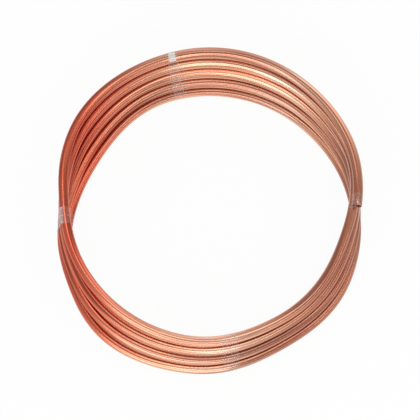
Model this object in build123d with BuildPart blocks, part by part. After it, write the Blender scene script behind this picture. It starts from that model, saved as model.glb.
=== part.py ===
"""Soft copper tube in a loose flat coil, its leaning turns held by four bands of clear tape.

Millimetres, +Z up. The coil lies on the floor with its axis upright, and the origin is under its middle.
"""

import os
from math import acos, atan2, cos, degrees, hypot, pi, sin

from build123d import *

# Tube
tube_diameter = 10.0
tube_wall = 0.8

# Coil: level half turns at the back, half turns that climb one pitch at the front, and each turn lies further back
loop_radius = 145.0
turns = 4
turn_gap = 0.2
turn_lean = 7.0

# Free ends: the lower one stops under the bunch on the left, the upper one runs on over the bunch on the right
upper_end_run = 16.0

# Tape bands, at these shares of a full turn round the coil, counter-clockwise from +X
tape_width = 19.0
tape_thickness = 0.3
tape_clearance = 0.3
tape_place_shares = {"back": 0.289, "left": 0.513, "front": 0.772, "right": 0.004}

tube_radius = tube_diameter / 2
bore_radius = tube_radius - tube_wall
turn_pitch = tube_diameter + turn_gap
first_height = tape_thickness + tape_clearance + tube_radius


def side_place(turn, side):
    """Where a turn at the back starts on the left (side -1) or stops on the right (side 1)."""
    return Vector(side * loop_radius, turn_lean * (turn - turns / 2), first_height + turn_pitch * turn)


def level_arc(turn, angle):
    """Half a turn at the back, from the left to the right, as (start, axis, angle)."""
    start = side_place(turn, -1)
    return start, Axis((0, start.Y, start.Z), (0, 0, 1)), angle


def climbing_arc(turn, angle):
    """Half a turn at the front, from the right to the left and up to the next turn's height."""
    start = side_place(turn, 1)
    middle = Vector(0, start.Y, start.Z + turn_pitch / 2)
    return start, Axis(middle, Vector(turn_pitch, 0, 2 * loop_radius)), angle


# The route of the tube, from its lower end to its upper end. Clockwise arcs have negative angles.
half_turn = 180.0
upper_end_angle = half_turn + degrees(upper_end_run / loop_radius)
level_arcs = [level_arc(turn, -half_turn) for turn in range(turns)]
climbing_arcs = [climbing_arc(turn, -half_turn) for turn in range(turns)]
end_arc = level_arc(turns, -upper_end_angle)

with BuildPart() as copper_tube:
    for start, axis, angle in [*level_arcs, *climbing_arcs, end_arc]:
        with BuildSketch(Plane.XZ.offset(-start.Y)):
            with Locations((start.X, start.Z)):
                Circle(tube_radius)
                Circle(bore_radius, mode=Mode.SUBTRACT)
        revolve(axis=axis, revolution_arc=angle)
    for turn in range(turns):
        next_start = side_place(turn + 1, -1)
        with BuildSketch(Plane.XZ.offset(-next_start.Y)):
            with Locations((next_start.X, next_start.Z)):
                Circle(tube_radius)
                Circle(bore_radius, mode=Mode.SUBTRACT)
        extrude(amount=turn_lean)


def crossings(route_arc, plane):
    """The two places where an arc's whole circle crosses a plane, as (x, y) on that plane."""
    start, axis, _ = route_arc
    spoke = start - axis.position
    side = axis.direction.cross(spoke)
    along_spoke = plane.z_dir.dot(spoke)
    along_side = plane.z_dir.dot(side)
    reach = plane.z_dir.dot(plane.origin - axis.position)
    middle_angle = atan2(along_side, along_spoke)
    turned = acos(reach / hypot(along_spoke, along_side))
    places = []
    for angle in (middle_angle - turned, middle_angle + turned):
        point = plane.to_local_coords(axis.position + spoke * cos(angle) + side * sin(angle))
        places.append((point.X, point.Y))
    return places


# The arcs of each pass of the tube under a band: the pass is at the outermost place where they cross it.
passes_under_tape = {
    "back": [[arc] for arc in [*level_arcs, end_arc]],
    "left": [[level_arcs[0]], *zip(climbing_arcs, [*level_arcs[1:], end_arc])],
    "front": [[arc] for arc in climbing_arcs],
    "right": [*zip(level_arcs, climbing_arcs), [end_arc]],
}
band_edge_shares = (-0.5, 0, 0.5)

tapes = {}
for side_name, turn_share in tape_place_shares.items():
    tape_angle = 2 * pi * turn_share
    outward = Vector(cos(tape_angle), sin(tape_angle), 0)
    band_plane = Plane(origin=(0, 0, 0), x_dir=outward, z_dir=outward.cross(Vector(0, 0, 1)))
    stations = [band_plane.offset(tape_width * share) for share in band_edge_shares]
    places = []
    for arcs in passes_under_tape[side_name]:
        for station in stations:
            places.append(max(place for arc in arcs for place in crossings(arc, station)))
    with BuildPart() as tape:
        with BuildSketch(band_plane):
            with BuildSketch(mode=Mode.PRIVATE) as outer_rounds:
                with Locations(places):
                    Circle(tube_radius + tape_clearance + tape_thickness)
            with BuildSketch(mode=Mode.PRIVATE) as inner_rounds:
                with Locations(places):
                    Circle(tube_radius + tape_clearance)
            make_hull(outer_rounds.sketch.edges())
            make_hull(inner_rounds.sketch.edges(), mode=Mode.SUBTRACT)
        extrude(amount=tape_width / 2, both=True)
    tapes[f"tape_{side_name}"] = tape

os.makedirs("parts", exist_ok=True)
copper_tube.part.label = "copper_tube"
export_step(copper_tube.part, "parts/copper_tube.step")
for name, tape in tapes.items():
    tape.part.label = name
    export_step(tape.part, f"parts/{name}.step")
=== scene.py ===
"""Looks of a loose coil of soft copper tube: the drawn metal, its slack turns and four bands of clear tape.

Metres, +Z up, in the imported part's frame.
"""

from math import cos, degrees, pi, radians, sin

import bpy
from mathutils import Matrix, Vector


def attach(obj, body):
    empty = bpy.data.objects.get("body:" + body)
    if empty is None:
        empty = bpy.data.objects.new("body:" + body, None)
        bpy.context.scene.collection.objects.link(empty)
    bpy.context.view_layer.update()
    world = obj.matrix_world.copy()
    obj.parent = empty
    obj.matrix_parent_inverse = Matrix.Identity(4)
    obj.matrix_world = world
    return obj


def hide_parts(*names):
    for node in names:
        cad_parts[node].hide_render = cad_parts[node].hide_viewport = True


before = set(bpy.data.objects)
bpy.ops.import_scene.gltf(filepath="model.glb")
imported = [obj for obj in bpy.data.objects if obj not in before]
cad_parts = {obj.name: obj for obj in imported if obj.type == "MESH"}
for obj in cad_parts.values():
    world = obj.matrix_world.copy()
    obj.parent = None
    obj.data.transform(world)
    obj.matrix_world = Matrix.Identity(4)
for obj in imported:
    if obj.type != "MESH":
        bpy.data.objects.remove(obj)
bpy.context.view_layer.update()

MM = 0.001
UP = Vector((0, 0, 1))

# The tube and its route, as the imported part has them
TUBE_RADIUS = 5.0 * MM
TUBE_WALL = 0.8 * MM
LOOP_RADIUS = 145.0 * MM
TURNS = 4
TURN_PITCH = 10.2 * MM
TURN_LEAN = 7.0 * MM
FIRST_HEIGHT = 5.6 * MM
UPPER_END_RUN = 16.0 * MM
HALF_TURN = 180.0

# Mesh of the tube. The rims of the cut ends are bevelled, as edges sharper than the rim angle.
TUBE_SIDES = 32
RING_ANGLE = 2.5
HALF_TURN_RINGS = round(HALF_TURN / RING_ANGLE)
TURN_RINGS = 2 * HALF_TURN_RINGS + 1
RIM_BEVEL = 0.15 * MM
RIM_ANGLE = 60.0
SMOOTH_ANGLE = 40.0

# Slack between the tapes: a place round the coil in degrees, how far out the lowest and the top pass are
# pushed there, and how far along the tube that reaches
SLACK_PUSHES = (
    (12.0, 2.0 * MM, 2.5 * MM, 100.0 * MM),
    (150.0, -8.0 * MM, 4.5 * MM, 110.0 * MM),
    (184.0, 3.0 * MM, -1.0 * MM, 60.0 * MM),
    (225.0, 7.5 * MM, 0.0, 110.0 * MM),
    (300.0, -6.5 * MM, -5.0 * MM, 100.0 * MM),
    (340.0, 0.5 * MM, -7.0 * MM, 100.0 * MM),
)

# Clear tape: where each band is, as a share of a turn, and the laps over its first layer. Each lap has its
# width, the angle above straight out of the side that it lies on, the share of the bunch that it covers from
# there, and how milky it is.
TAPE_WIDTH = 19.0 * MM
TAPE_FILM = 0.06 * MM
TAPE_LIFT = 0.05 * MM
LAP_LIFT = 2 * TAPE_FILM
TAPE_ROWS = 6
END_FACE_SHARE = 0.9
TAPES = {
    "back": (0.289, ((11.0 * MM, 90.0, 0.9, 0.1), (7.0 * MM, 40.0, 0.14, 0.8))),
    "left": (0.513, ((17.0 * MM, 10.0, 0.9, 0.06), (17.0 * MM, 0.0, 0.45, 0.3))),
    "front": (0.772, ((16.0 * MM, 90.0, 0.9, 0.03),)),
    "right": (0.004, ((14.0 * MM, 90.0, 0.3, 0.08),)),
}
FILM_COLOUR = (0.97, 0.93, 0.90, 1)
CRINKLE_SCALE = 300.0
CRINKLE_DEPTH = 0.4 * MM

# Copper: each tone where it is clean and where it has bloomed. The golden tone is the metal's own; the red
# and dull tones are painted shade, and the pale tone is a painted highlight.
GOLDEN = ((0.74, 0.36, 0.21, 1), (0.67, 0.28, 0.15, 1))
# Painted highlight: a paler copper laid where the bright room would light the coil, not a tone of the metal
PAINTED_HIGHLIGHT_PALE = ((0.76, 0.44, 0.30, 1), (0.70, 0.35, 0.22, 1))
# Painted shade: a darker red laid on the left of the coil, where the room is dim
PAINTED_SHADE_RED = ((0.66, 0.135, 0.065, 1), (0.58, 0.095, 0.05, 1))
# Painted shade: a darker, duller copper laid on the right of the coil, where the room is dim
PAINTED_SHADE_DULL = ((0.50, 0.175, 0.085, 1), (0.43, 0.125, 0.055, 1))

# Where the painted shade and painted highlight tones lie round the coil: a way across it, and how far along
# that way a tone starts and is full
PAINTED_SHADE_RED_WAY = (-1, 0.03, 0)
PAINTED_SHADE_RED_REACH = (30.0 * MM, 140.0 * MM)
PAINTED_SHADE_DULL_WAY = (0.94, -0.34, 0)
PAINTED_SHADE_DULL_REACH = (60.0 * MM, 140.0 * MM)
PAINTED_HIGHLIGHT_WAY = (0.9, -0.2, 0)
PAINTED_HIGHLIGHT_REACH = (-10.0 * MM, 30.0 * MM)
PAINTED_HIGHLIGHT_END = (50.0 * MM, 90.0 * MM)

# Marks of drawing along the tube: how fine they are across it and along it, and their dark and light tints
DIE_LINE_FINENESS = (260, 260, 6)
DIE_LINE_DEPTH = 0.1 * MM
BLOOM_FINENESS = (120, 120, 14)
STREAK_DARK = (0.58, 0.44, 0.4, 1)
STREAK_LIGHT = (1.2, 1.26, 1.3, 1)

# Floor
FLOOR_SIZE = 14.0
FLOOR_DROP = 0.3 * MM
FLOOR_COLOUR = (0.85, 0.85, 0.85, 1)
FLOOR_WHITE_SHARE = 0.94
WHITE = (1, 1, 1, 1)

# Light: the room is bright along this azimuth, both ways. Each strip lamp has its azimuth, its elevation, its
# width and height in metres and its power in watts.
BRIGHT_AZIMUTH = 72.0
DIM_STRENGTH = 0.62
BRIGHT_STRENGTH = 0.8
STRIP_DISTANCE = 1.5
STRIPS = {
    "front_low_strip": (257, 9, 1.6, 0.25, 3.4),
    "front_high_strip": (257, 46, 1.6, 0.25, 3.4),
    "top_strip": (72, 84, 1.6, 0.25, 2.2),
    "right_strip": (330, 35, 1.4, 0.12, 1.5),
}

# Camera: its lens and sensor are in millimetres, as Blender takes them
CAMERA_ELEVATION = 74.6
CAMERA_DISTANCE = 2.5
CAMERA_LENS = 215.0
CAMERA_SENSOR = 36.0
CAMERA_AIM = Vector((0, 0, 26.0 * MM))


class Value:
    """A shader socket that takes part in sums, each of which adds a Math node."""

    def __init__(self, finish, socket):
        self.finish = finish
        self.socket = socket

    def __add__(self, other):
        return self.finish.math("ADD", self, other)

    def __sub__(self, other):
        return self.finish.math("SUBTRACT", self, other)

    def __rsub__(self, other):
        return self.finish.math("SUBTRACT", other, self)

    def __mul__(self, other):
        return self.finish.math("MULTIPLY", self, other)

    __radd__ = __add__
    __rmul__ = __mul__


class Finish:
    """One procedural material, or the world's light, and the nodes in it."""

    def __init__(self, owner, output_kind="OutputMaterial"):
        owner.use_nodes = True
        self.owner = owner
        self.output_kind = output_kind
        self.tree = owner.node_tree
        self.tree.nodes.clear()

    def node(self, kind, settings, sockets, output=0):
        """Add a node, with its settings made first, and give one of its outputs."""
        node = self.tree.nodes.new("ShaderNode" + kind)
        for name, value in settings.items():
            setattr(node, name, value)
        for name, value in sockets.items():
            if isinstance(value, Value):
                self.tree.links.new(value.socket, node.inputs[name])
            else:
                node.inputs[name].default_value = value
        return Value(self, node.outputs[output])

    def math(self, operation, first, second):
        return self.node("Math", {"operation": operation}, {0: first, 1: second})

    def noise(self, coordinates, scale, detail, roughness):
        sockets = {"Vector": coordinates, "Scale": scale, "Detail": detail, "Roughness": roughness}
        return self.node("TexNoise", {}, sockets, "Fac")

    def spread(self, value, low, high):
        """The share of the way from low to high, kept between 0 and 1."""
        settings = {"interpolation_type": "SMOOTHSTEP"}
        return self.node("MapRange", settings, {"Value": value, "From Min": low, "From Max": high})

    def stretched(self, coordinates, scale):
        return self.node("Mapping", {}, {"Vector": coordinates, "Scale": scale})

    def along(self, vector, way):
        """How far a vector goes along a way."""
        return self.node("VectorMath", {"operation": "DOT_PRODUCT"}, {0: vector, 1: way}, "Value")

    def bump(self, height, strength, distance):
        return self.node("Bump", {}, {"Strength": strength, "Distance": distance, "Height": height}, "Normal")

    def mix(self, share, first, second):
        """A colour that share of the way from the first to the second."""
        return self.node("Mix", {"data_type": "RGBA"}, {0: share, 6: first, 7: second}, 2)

    def tinted(self, first, second):
        """One colour times another."""
        settings = {"data_type": "RGBA", "blend_type": "MULTIPLY"}
        return self.node("Mix", settings, {0: 1.0, 6: first, 7: second}, 2)

    def surface(self, shader):
        output = self.tree.nodes.new("ShaderNode" + self.output_kind)
        self.tree.links.new(shader.socket, output.inputs["Surface"])
        return self.owner


def drawn_copper():
    """Bright drawn copper: die lines along the tube, in tones that change round the coil.

    It is painted shade on the left, a darker red, and painted shade on the right, a duller copper. Between
    them it is golden, with a pale band of painted highlight on the dull side.
    """
    finish = Finish(bpy.data.materials.new("drawn_copper"))
    run = finish.node("Attribute", {"attribute_name": "drawn_run"}, {}, "Vector")
    place = finish.node("TexCoord", {}, {}, "Object")
    die_lines = finish.noise(finish.stretched(run, DIE_LINE_FINENESS), 1.0, 2.0, 0.6)
    bloom = finish.spread(finish.noise(finish.stretched(run, BLOOM_FINENESS), 1.0, 3.0, 0.6), 0.35, 0.68)
    # Painted shade: darker red towards the left of the coil
    painted_shade_red_share = finish.spread(finish.along(place, PAINTED_SHADE_RED_WAY), *PAINTED_SHADE_RED_REACH)
    # Painted shade: darker, duller copper towards the right of the coil
    painted_shade_dull_share = finish.spread(finish.along(place, PAINTED_SHADE_DULL_WAY), *PAINTED_SHADE_DULL_REACH)
    # Painted highlight: a pale band across the coil on the dull side
    across = finish.along(place, PAINTED_HIGHLIGHT_WAY)
    painted_highlight_share = finish.spread(across, *PAINTED_HIGHLIGHT_REACH) - finish.spread(across, *PAINTED_HIGHLIGHT_END)
    metal = finish.mix(painted_highlight_share, finish.mix(bloom, *GOLDEN), finish.mix(bloom, *PAINTED_HIGHLIGHT_PALE))
    metal = finish.mix(painted_shade_red_share, metal, finish.mix(bloom, *PAINTED_SHADE_RED))
    metal = finish.mix(painted_shade_dull_share, metal, finish.mix(bloom, *PAINTED_SHADE_DULL))
    streaks = finish.mix(finish.spread(die_lines, 0.38, 0.62), STREAK_DARK, STREAK_LIGHT)
    shader = finish.node("BsdfPrincipled", {}, {
        "Base Color": finish.tinted(metal, streaks),
        "Metallic": 1.0,
        "Roughness": 0.10 + 0.18 * die_lines + 0.05 * bloom,
        "Specular Tint": (1.0, 0.9, 0.85, 1),
        "Coat Weight": 0.7 - 0.5 * painted_shade_red_share,
        "Coat Roughness": 0.1,
        "Coat IOR": 1.8,
        "Normal": finish.bump(die_lines, 0.8, DIE_LINE_DEPTH),
    })
    return finish.surface(shader)


def clear_film():
    """Clear tape: glossy, and milky where it laps itself or has lifted off the metal. The lifted spots are
    also painted glints.
    """
    finish = Finish(bpy.data.materials.new("clear_film"))
    place = finish.node("TexCoord", {}, {}, "Object")
    haze = finish.node("Attribute", {"attribute_name": "haze"}, {}, "Fac")
    crinkle = finish.noise(place, CRINKLE_SCALE, 2.0, 0.5)
    # Milky spots where the film has lifted, which also stand as painted glints on the film
    lifted_and_glints = finish.spread(crinkle, 0.5, 0.72)
    shader = finish.node("BsdfPrincipled", {}, {
        "Base Color": FILM_COLOUR,
        "Roughness": 0.15,
        "Alpha": 0.005 + 0.025 * lifted_and_glints + haze * (0.7 + 0.5 * lifted_and_glints),
        "Normal": finish.bump(crinkle, 0.5, CRINKLE_DEPTH),
    })
    return finish.surface(shader)


def side_place(turn, side):
    """Where a turn at the back starts on the left (side -1) or stops on the right (side 1)."""
    lean = TURN_LEAN * (turn - TURNS / 2)
    return Vector((side * LOOP_RADIUS, lean, FIRST_HEIGHT + TURN_PITCH * turn))


def spin_level(turn, angle):
    """Carry the selected ring clockwise round the back, from the left to the right."""
    middle = (side_place(turn, -1) + side_place(turn, 1)) / 2
    bpy.ops.mesh.spin(steps=round(angle / RING_ANGLE), angle=radians(angle), center=middle, axis=UP)


def spin_climb(turn):
    """Carry the selected ring clockwise round the front, from the right to the left and up one pitch."""
    middle = (side_place(turn, -1) + side_place(turn, 1) + UP * TURN_PITCH) / 2
    axis = Vector((TURN_PITCH, 0, 2 * LOOP_RADIUS)).normalized()
    bpy.ops.mesh.spin(steps=HALF_TURN_RINGS, angle=pi, center=middle, axis=axis)


def pick(piece):
    """Make one piece the only one selected, and the active one."""
    bpy.ops.object.select_all(action="DESELECT")
    piece.select_set(True)
    bpy.context.view_layer.objects.active = piece


def edit(piece):
    """Go into edit mode on one piece alone."""
    pick(piece)
    bpy.ops.object.mode_set(mode="EDIT")


def copy_of(piece, name):
    """A copy of a piece, under a name of its own."""
    pick(piece)
    bpy.ops.object.duplicate()
    bpy.context.object.name = name
    return bpy.context.object


def select_ring(piece, ring):
    """Select just one ring of the tube's points, in edit mode."""
    bpy.ops.mesh.select_mode(type="VERT")
    bpy.ops.mesh.select_all(action="DESELECT")
    bpy.ops.object.mode_set(mode="OBJECT")
    for point in piece.data.vertices:
        point.select = point.index // TUBE_SIDES == ring
    bpy.ops.object.mode_set(mode="EDIT")


def apply_modifier(piece, kind, **settings):
    """Add a modifier with these settings and apply it at once."""
    bpy.context.view_layer.objects.active = piece
    modifier = piece.modifiers.new(kind.lower(), kind)
    for name, value in settings.items():
        setattr(modifier, name, value)
    bpy.ops.object.modifier_apply(modifier=modifier.name)


def ring_middle(piece, ring):
    """The middle of one ring of the tube's points."""
    points = piece.data.vertices[ring * TUBE_SIDES:(ring + 1) * TUBE_SIDES]
    return sum((point.co for point in points), Vector()) / TUBE_SIDES


def push_ring(piece, ring, push, reach):
    """Push one ring of the tube out from the coil's middle, and what is near it on the tube less and less."""
    outward = ring_middle(piece, ring)
    outward.z = 0
    edit(piece)
    select_ring(piece, ring)
    bpy.ops.transform.translate(
        value=outward.normalized() * push,
        use_proportional_edit=True,
        use_proportional_connected=True,
        proportional_edit_falloff="SMOOTH",
        proportional_size=reach,
    )
    bpy.ops.object.mode_set(mode="OBJECT")


def slacken(piece, place, lowest_push, top_push, reach):
    """Push every pass at one place round the coil, evenly from the lowest push to the top one."""
    at_back = place <= HALF_TURN
    passes = TURNS + 1 if at_back else TURNS
    rings_from_left = (HALF_TURN - place if at_back else 3 * HALF_TURN - place) / RING_ANGLE
    for turn in range(passes):
        push = lowest_push + (top_push - lowest_push) * turn / (passes - 1)
        push_ring(piece, turn * TURN_RINGS + round(rings_from_left), push, reach)


def write_drawn_run(piece):
    """Keep where each point was on the straight tube, before it was coiled, for the finish to follow."""
    attribute = piece.data.attributes.new("drawn_run", "FLOAT_VECTOR", "POINT")
    run = 0.0
    rings = len(piece.data.vertices) // TUBE_SIDES
    for ring in range(rings):
        if ring:
            run += (ring_middle(piece, ring) - ring_middle(piece, ring - 1)).length
        for side in range(TUBE_SIDES):
            turned = 2 * pi * side / TUBE_SIDES
            place = (TUBE_RADIUS * cos(turned), TUBE_RADIUS * sin(turned), run)
            attribute.data[ring * TUBE_SIDES + side].vector = place


def make_tube():
    """The tube: one ring carried along every arc of the coil, slackened between the tapes, with its wall."""
    bpy.ops.object.select_all(action="DESELECT")
    bpy.ops.mesh.primitive_circle_add(
        vertices=TUBE_SIDES,
        radius=TUBE_RADIUS,
        location=side_place(0, -1),
        rotation=(pi / 2, 0, 0),
    )
    tube = bpy.context.object
    tube.name = "coiled_tube"
    bpy.ops.object.transform_apply(location=True, rotation=True, scale=True)
    edit(tube)
    bpy.ops.mesh.select_all(action="SELECT")
    for turn in range(TURNS):
        spin_level(turn, HALF_TURN)
        spin_climb(turn)
        bpy.ops.mesh.extrude_region_move(TRANSFORM_OT_translate={"value": (0, TURN_LEAN, 0)})
    spin_level(TURNS, HALF_TURN + degrees(UPPER_END_RUN / LOOP_RADIUS))
    bpy.ops.mesh.select_all(action="SELECT")
    bpy.ops.mesh.normals_make_consistent(inside=False)
    bpy.ops.object.mode_set(mode="OBJECT")
    for place, lowest_push, top_push, reach in SLACK_PUSHES:
        slacken(tube, place, lowest_push, top_push, reach)
    write_drawn_run(tube)
    apply_modifier(tube, "SOLIDIFY", thickness=TUBE_WALL, offset=-1.0, use_even_offset=True)
    edit(tube)
    bpy.ops.mesh.select_all(action="DESELECT")
    bpy.ops.mesh.select_mode(type="EDGE")
    bpy.ops.mesh.edges_select_sharp(sharpness=radians(RIM_ANGLE))
    bpy.ops.mesh.bevel(offset=RIM_BEVEL, segments=2)
    bpy.ops.object.mode_set(mode="OBJECT")
    bpy.ops.object.shade_smooth_by_angle(angle=radians(SMOOTH_ANGLE))
    return tube


def tape_ways(turn_share):
    """Straight out from the coil's middle at a band of tape, and along the tube there."""
    angle = 2 * pi * turn_share
    outward = Vector((cos(angle), sin(angle), 0))
    return outward, UP.cross(outward)


def keep_side(place, normal):
    """Cut the whole mesh with a plane and keep the side that its normal points to."""
    bpy.ops.mesh.select_all(action="SELECT")
    bpy.ops.mesh.bisect(plane_co=place, plane_no=normal, clear_inner=True)


def make_tape(tube, side, turn_share):
    """The first layer of a band of tape: the hull of the passes under it, without its ends."""
    outward, along = tape_ways(turn_share)
    tape = copy_of(tube, "film_" + side)
    edit(tape)
    bpy.ops.mesh.select_mode(type="VERT")
    edge = along * TAPE_WIDTH / 2
    for place, normal in ((-edge, along), (edge, -along), (Vector(), outward)):
        keep_side(place, normal)
    bpy.ops.mesh.select_all(action="SELECT")
    bpy.ops.mesh.delete(type="EDGE_FACE")
    bpy.ops.mesh.select_all(action="SELECT")
    bpy.ops.mesh.convex_hull()
    bpy.ops.mesh.select_all(action="SELECT")
    bpy.ops.mesh.normals_make_consistent(inside=False)
    bpy.ops.mesh.select_mode(type="FACE")
    bpy.ops.object.mode_set(mode="OBJECT")
    for face in tape.data.polygons:
        face.select = abs(face.normal.dot(along)) > END_FACE_SHARE
    edit(tape)
    bpy.ops.mesh.delete(type="ONLY_FACE")
    for row in range(1, TAPE_ROWS):
        bpy.ops.mesh.select_all(action="SELECT")
        bpy.ops.mesh.bisect(plane_co=edge * (2 * row / TAPE_ROWS - 1), plane_no=along)
    bpy.ops.mesh.select_all(action="SELECT")
    bpy.ops.transform.shrink_fatten(value=TAPE_LIFT)
    bpy.ops.object.mode_set(mode="OBJECT")
    return tape


def make_lap(tape, turn_share, lift, width, lap_angle, lap_share):
    """A further layer over part of the first: one sheet, lifted off it and cut to its width and reach."""
    outward, along = tape_ways(turn_share)
    lap_way = outward * cos(radians(lap_angle)) + UP * sin(radians(lap_angle))
    reaches = [point.co.dot(lap_way) for point in tape.data.vertices]
    lap_edge = max(reaches) - lap_share * (max(reaches) - min(reaches))
    edge = along * width / 2
    lap = copy_of(tape, tape.name + "_lap")
    edit(lap)
    bpy.ops.mesh.select_all(action="SELECT")
    bpy.ops.transform.shrink_fatten(value=lift)
    for place, normal in ((lap_way * lap_edge, lap_way), (-edge, along), (edge, -along)):
        keep_side(place, normal)
    bpy.ops.object.mode_set(mode="OBJECT")
    return lap


def write_haze(piece, haze):
    """Mark how milky a layer of tape is, for the finish to follow."""
    attribute = piece.data.attributes.new("haze", "FLOAT", "POINT")
    for point in piece.data.vertices:
        attribute.data[point.index].value = haze


def wrap_tape(tube, side, turn_share, laps):
    """A band of tape as one piece: its first layer, with the film's thickness, and its laps."""
    tape = make_tape(tube, side, turn_share)
    layers = []
    for number, (width, lap_angle, lap_share, haze) in enumerate(laps, 1):
        lap = make_lap(tape, turn_share, number * LAP_LIFT, width, lap_angle, lap_share)
        write_haze(lap, haze)
        layers.append(lap)
    write_haze(tape, 0.0)
    apply_modifier(tape, "SOLIDIFY", thickness=TAPE_FILM, offset=1.0)
    bpy.ops.object.select_all(action="DESELECT")
    for layer in [*layers, tape]:
        layer.select_set(True)
    bpy.context.view_layer.objects.active = tape
    bpy.ops.object.join()
    bpy.ops.object.shade_smooth_by_angle(angle=radians(SMOOTH_ANGLE))
    return tape


def make_stage():
    """A large pale floor that shows white and keeps the coil's soft shadow."""
    bpy.ops.object.select_all(action="DESELECT")
    bpy.ops.mesh.primitive_plane_add(size=FLOOR_SIZE, location=(0, 0, -FLOOR_DROP))
    floor = bpy.context.object
    floor.name = "floor"
    bpy.ops.object.transform_apply(location=True, rotation=True, scale=True)
    finish = Finish(bpy.data.materials.new("pale_floor"))
    camera_ray = finish.node("LightPath", {}, {}, "Is Camera Ray")
    glossy_ray = finish.node("LightPath", {}, {}, "Is Glossy Ray")
    through_ray = finish.node("LightPath", {}, {}, "Is Transmission Ray")
    white = finish.node("Emission", {}, {"Color": WHITE, "Strength": 1.0})
    matt = finish.node("BsdfDiffuse", {}, {"Color": FLOOR_COLOUR})
    seen = (camera_ray + glossy_ray + through_ray) * FLOOR_WHITE_SHARE
    floor.data.materials.append(finish.surface(finish.node("MixShader", {}, {0: seen, 1: matt, 2: white})))


def add_strip(name, azimuth, elevation, width, height, power):
    """A soft rectangular lamp, aimed at the coil's middle."""
    lamp = bpy.data.lights.new(name, "AREA")
    lamp.shape = "RECTANGLE"
    lamp.size = width
    lamp.size_y = height
    lamp.energy = power
    holder = bpy.data.objects.new(name, lamp)
    bpy.context.scene.collection.objects.link(holder)
    level = cos(radians(elevation))
    towards = Vector((level * cos(radians(azimuth)), level * sin(radians(azimuth)), sin(radians(elevation))))
    holder.location = towards * STRIP_DISTANCE
    holder.rotation_euler = towards.to_track_quat("Z", "Y").to_euler()


def make_lights():
    """A room that is bright in front and behind, dim at the sides and overhead, and its strip lamps."""
    sky = Finish(bpy.data.worlds.new("studio"), "OutputWorld")
    way = sky.node("TexCoord", {}, {}, "Generated")
    level = sky.node("VectorMath", {"operation": "MULTIPLY"}, {0: way, 1: (1, 1, 0)}, "Vector")
    heading = sky.node("VectorMath", {"operation": "NORMALIZE"}, {0: level}, "Vector")
    facing = sky.along(heading, (cos(radians(BRIGHT_AZIMUTH)), sin(radians(BRIGHT_AZIMUTH)), 0))
    height = sky.node("SeparateXYZ", {}, {"Vector": way}, "Z")
    bright = sky.spread(facing * facing, 0.45, 0.9) * sky.spread(height, 0.92, 0.6)
    strength = DIM_STRENGTH + BRIGHT_STRENGTH * bright
    bpy.context.scene.world = sky.surface(sky.node("Background", {}, {"Color": WHITE, "Strength": strength}))
    for name, settings in STRIPS.items():
        add_strip(name, *settings)


def make_camera():
    """The camera: in front of the coil and high above it, as in the photograph."""
    lens = bpy.data.cameras.new("camera")
    lens.lens = CAMERA_LENS
    lens.sensor_width = CAMERA_SENSOR
    camera = bpy.data.objects.new("camera", lens)
    bpy.context.scene.collection.objects.link(camera)
    raised = radians(CAMERA_ELEVATION)
    towards = Vector((0, -cos(raised), sin(raised)))
    camera.location = CAMERA_AIM + towards * CAMERA_DISTANCE
    camera.rotation_euler = (pi / 2 - raised, 0, 0)
    bpy.context.scene.camera = camera


bpy.context.scene.view_settings.view_transform = "Standard"
make_camera()
make_lights()
make_stage()

tube = make_tube()
tube.data.materials.append(drawn_copper())
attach(tube, "root")
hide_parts("copper_tube")

film = clear_film()
for side, (turn_share, laps) in TAPES.items():
    tape = wrap_tape(tube, side, turn_share, laps)
    tape.data.materials.clear()
    tape.data.materials.append(film)
    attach(tape, "root")
    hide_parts("tape_" + side)
